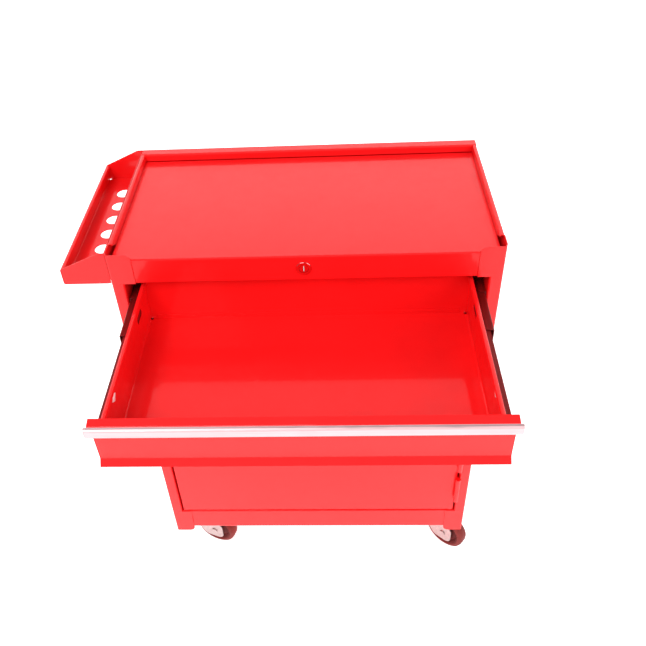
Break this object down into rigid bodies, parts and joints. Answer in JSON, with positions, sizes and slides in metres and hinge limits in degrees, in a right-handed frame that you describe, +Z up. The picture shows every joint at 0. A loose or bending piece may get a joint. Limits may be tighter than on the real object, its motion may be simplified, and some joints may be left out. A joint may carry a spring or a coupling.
{
  "type": "rolling tool box",
  "caption": "Low steel tool cabinet on casters, with shallow drawers on full slides, a cupboard with a side-hung door, a key lock and a tray with tool holes on its left wall.",
  "frame": {"origin": "centre of the bounding box on the floor, with the first drawer open", "axes": "+X to the box's right as seen from its front, +Y to its back, +Z up"},
  "size_m": [0.6, 0.5282, 0.7199],
  "materials": {
    "red_paint": "glossy red powder coat over folded sheet steel",
    "aluminium_grip": "satin anodised extrusion with fine lengthwise lines",
    "black_slide": "black coated rolled steel, lightly greased",
    "zinc_plate": "bright zinc plated pressed steel",
    "lock_chrome": "polished chrome plate",
    "catch_plastic": "white moulded plastic",
    "wheel_rubber": "dark moulded rubber tread"
  },
  "bodies": {
    "cabinet": {"left_side_panel": "red_paint", "right_side_panel": "red_paint", "back_panel": "red_paint", "top_panel": "red_paint", "deck_panel": "red_paint", "bottom_panel": "red_paint", "side_tray": "red_paint", "lock_cylinder": "lock_chrome", "door_catch": "catch_plastic", "hinge_lower": "red_paint", "hinge_upper": "red_paint", "caster_plate_front_left": "zinc_plate", "caster_plate_front_right": "zinc_plate", "caster_fork_rear_left": "zinc_plate", "caster_fork_rear_right": "zinc_plate", "drawer_1_cabinet_rail_left": "black_slide", "drawer_1_cabinet_rail_right": "black_slide", "drawer_2_cabinet_rail_left": "black_slide", "drawer_2_cabinet_rail_right": "black_slide", "drawer_3_cabinet_rail_left": "black_slide", "drawer_3_cabinet_rail_right": "black_slide", "drawer_4_cabinet_rail_left": "black_slide", "drawer_4_cabinet_rail_right": "black_slide"},
    "drawer_1": {"drawer_1_pan": "red_paint", "drawer_1_handle": "aluminium_grip", "drawer_1_rail_left": "black_slide", "drawer_1_rail_right": "black_slide"},
    "drawer_1_middle_rails": {"drawer_1_middle_rail_left": "black_slide", "drawer_1_middle_rail_right": "black_slide"},
    "drawer_2": {"drawer_2_pan": "red_paint", "drawer_2_handle": "aluminium_grip", "drawer_2_rail_left": "black_slide", "drawer_2_rail_right": "black_slide"},
    "drawer_2_middle_rails": {"drawer_2_middle_rail_left": "black_slide", "drawer_2_middle_rail_right": "black_slide"},
    "drawer_3": {"drawer_3_pan": "red_paint", "drawer_3_handle": "aluminium_grip", "drawer_3_rail_left": "black_slide", "drawer_3_rail_right": "black_slide"},
    "drawer_3_middle_rails": {"drawer_3_middle_rail_left": "black_slide", "drawer_3_middle_rail_right": "black_slide"},
    "drawer_4": {"drawer_4_pan": "red_paint", "drawer_4_handle": "aluminium_grip", "drawer_4_rail_left": "black_slide", "drawer_4_rail_right": "black_slide"},
    "drawer_4_middle_rails": {"drawer_4_middle_rail_left": "black_slide", "drawer_4_middle_rail_right": "black_slide"},
    "door": {"door_panel": "red_paint", "door_handle": "aluminium_grip"},
    "lock_plug": {"lock_plug": "lock_chrome", "lock_crank": "zinc_plate"},
    "lock_bar": {"lock_bar": "zinc_plate"},
    "caster_front_left": {"caster_fork_front_left": "zinc_plate"},
    "wheel_front_left": {"caster_wheel_front_left": "wheel_rubber"},
    "wheel_rear_left": {"caster_wheel_rear_left": "wheel_rubber"},
    "caster_front_right": {"caster_fork_front_right": "zinc_plate"},
    "wheel_front_right": {"caster_wheel_front_right": "wheel_rubber"},
    "wheel_rear_right": {"caster_wheel_rear_right": "wheel_rubber"}
  },
  "joints": [
    {"name": "drawer_1_slide", "type": "slide", "parent": "cabinet", "child": "drawer_1", "axis": [0, -1, 0], "range_m": [-0.2365, 0]},
    {"name": "drawer_1_middle_slide", "type": "slide", "parent": "cabinet", "child": "drawer_1_middle_rails", "axis": [0, -1, 0], "range_m": [-0.11825, 0]},
    {"name": "drawer_2_slide", "type": "slide", "parent": "cabinet", "child": "drawer_2", "axis": [0, -1, 0], "range_m": [0, 0.2365]},
    {"name": "drawer_2_middle_slide", "type": "slide", "parent": "cabinet", "child": "drawer_2_middle_rails", "axis": [0, -1, 0], "range_m": [0, 0.11825]},
    {"name": "drawer_3_slide", "type": "slide", "parent": "cabinet", "child": "drawer_3", "axis": [0, -1, 0], "range_m": [0, 0.2365]},
    {"name": "drawer_3_middle_slide", "type": "slide", "parent": "cabinet", "child": "drawer_3_middle_rails", "axis": [0, -1, 0], "range_m": [0, 0.11825]},
    {"name": "drawer_4_slide", "type": "slide", "parent": "cabinet", "child": "drawer_4", "axis": [0, -1, 0], "range_m": [0, 0.2365]},
    {"name": "drawer_4_middle_slide", "type": "slide", "parent": "cabinet", "child": "drawer_4_middle_rails", "axis": [0, -1, 0], "range_m": [0, 0.11825]},
    {"name": "door_swing", "type": "hinge", "parent": "cabinet", "child": "door", "pos_m": [0.2638, -0.0199, 0.214], "axis": [0, 0, 1], "range_deg": [0, 110]},
    {"name": "lock_turn", "type": "hinge", "parent": "cabinet", "child": "lock_plug", "pos_m": [0.0239, -0.0033, 0.6889], "axis": [0, 1, 0], "range_deg": [0, 90]},
    {"name": "lock_bar_slide", "type": "slide", "parent": "cabinet", "child": "lock_bar", "axis": [0, 0, 1], "range_m": [-0.006, 0]},
    {"name": "swivel_front_left", "type": "hinge", "parent": "cabinet", "child": "caster_front_left", "pos_m": [-0.1971, 0.0407, 0.09], "axis": [0, 0, 1], "continuous": true},
    {"name": "spin_front_left", "type": "hinge", "parent": "caster_front_left", "child": "wheel_front_left", "pos_m": [-0.17134, 0.03107, 0.0381], "axis": [0.3502, 0.9367, 0], "continuous": true},
    {"name": "swivel_front_right", "type": "hinge", "parent": "cabinet", "child": "caster_front_right", "pos_m": [0.2449, 0.0407, 0.09], "axis": [0, 0, 1], "continuous": true},
    {"name": "spin_front_right", "type": "hinge", "parent": "caster_front_right", "child": "wheel_front_right", "pos_m": [0.26565, 0.02266, 0.0381], "axis": [0.6561, 0.7547, 0], "continuous": true},
    {"name": "spin_rear_left", "type": "hinge", "parent": "cabinet", "child": "wheel_rear_left", "pos_m": [-0.1971, 0.2081, 0.0381], "axis": [1, 0, 0], "continuous": true},
    {"name": "spin_rear_right", "type": "hinge", "parent": "cabinet", "child": "wheel_rear_right", "pos_m": [0.2449, 0.2081, 0.0381], "axis": [1, 0, 0], "continuous": true}
  ],
  "couplings": [
    {"joint": "drawer_1_middle_slide", "follows": "drawer_1_slide", "ratio": 0.5},
    {"joint": "drawer_2_middle_slide", "follows": "drawer_2_slide", "ratio": 0.5},
    {"joint": "drawer_3_middle_slide", "follows": "drawer_3_slide", "ratio": 0.5},
    {"joint": "drawer_4_middle_slide", "follows": "drawer_4_slide", "ratio": 0.5},
    {"joint": "lock_turn", "follows": "lock_bar_slide", "rad_per_m": -261.8}
  ]
}
